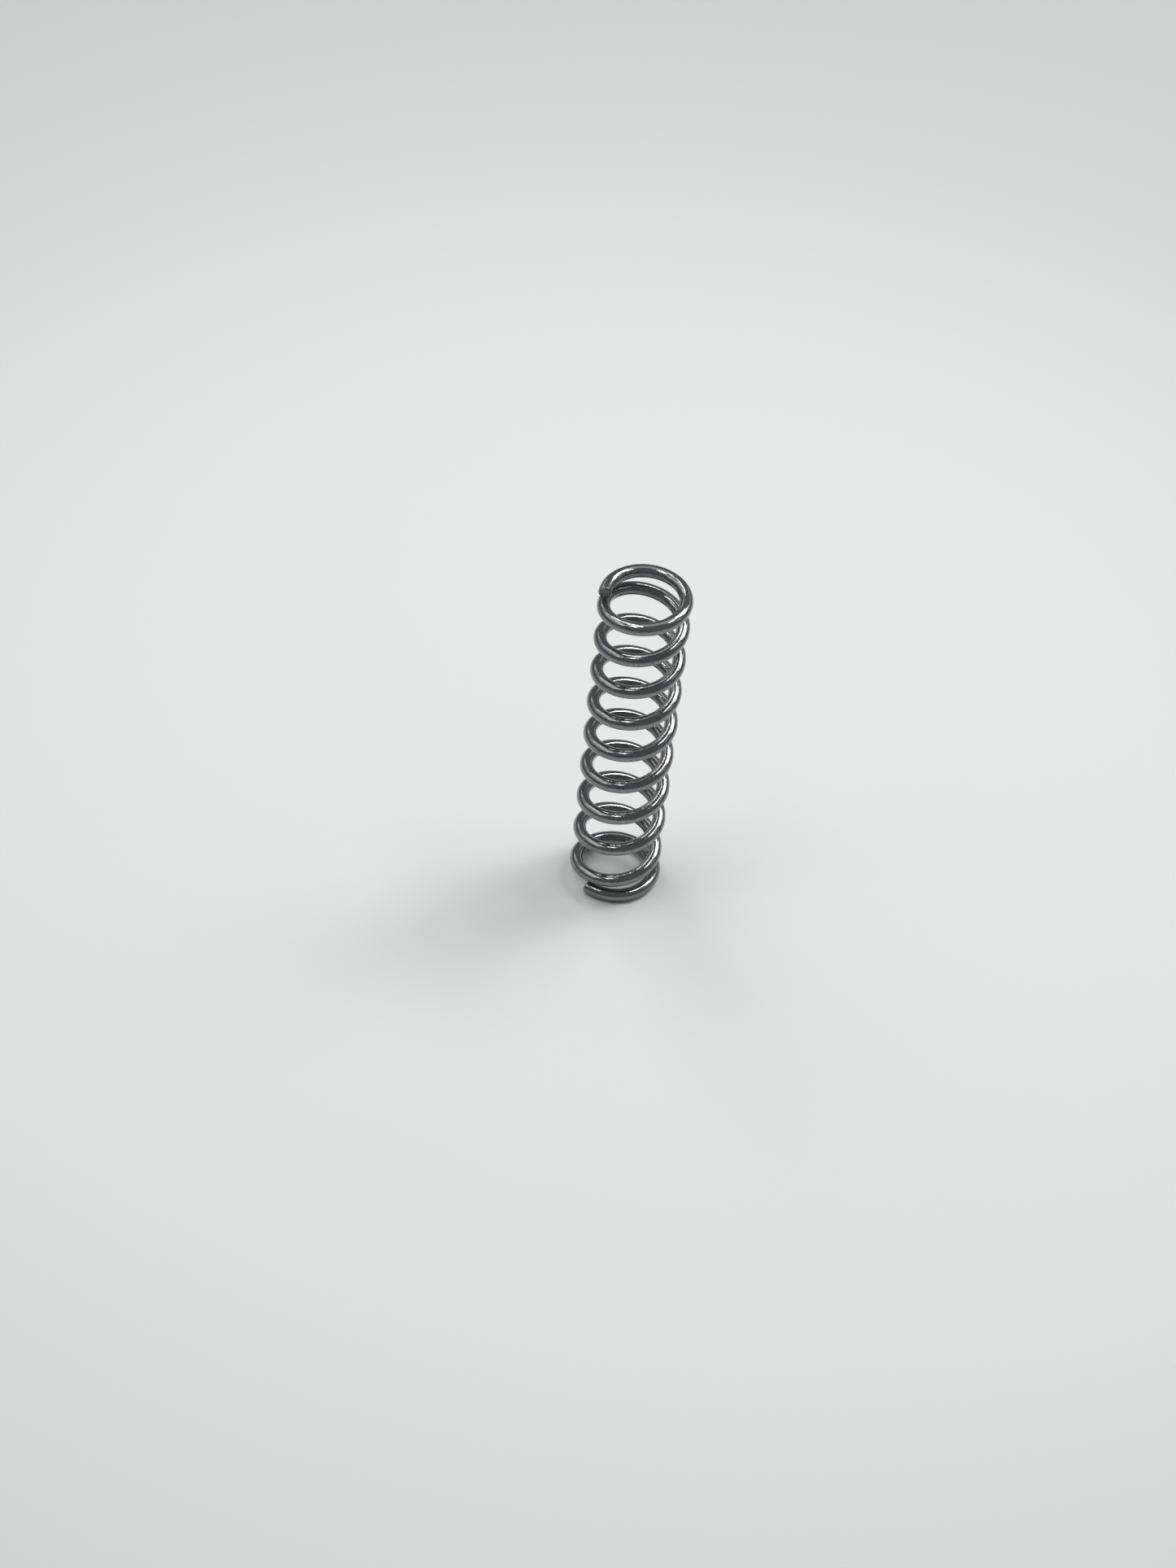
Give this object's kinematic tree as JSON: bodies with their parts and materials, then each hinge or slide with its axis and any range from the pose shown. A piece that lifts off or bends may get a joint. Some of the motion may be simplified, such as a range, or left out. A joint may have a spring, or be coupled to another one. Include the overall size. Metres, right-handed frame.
{
  "type": "suspension spring",
  "caption": "Small helical compression spring of round steel wire, wound right-handed with open turns and a closed, unground turn at each end.",
  "frame": {"origin": "on the coil's axis, at the level that the lower end stands on", "axes": "+Z along the coil's axis from the lower end to the upper end; the lower wire tip lies 232 degrees round from +X, seen from above"},
  "size_m": [0.0085, 0.0086, 0.0351],
  "materials": {
    "spring_steel": "drawn spring steel wire, smooth and dark with a light oil tint"
  },
  "bodies": {
    "root": {"spring_wire": "spring_steel"}
  },
  "joints": []
}
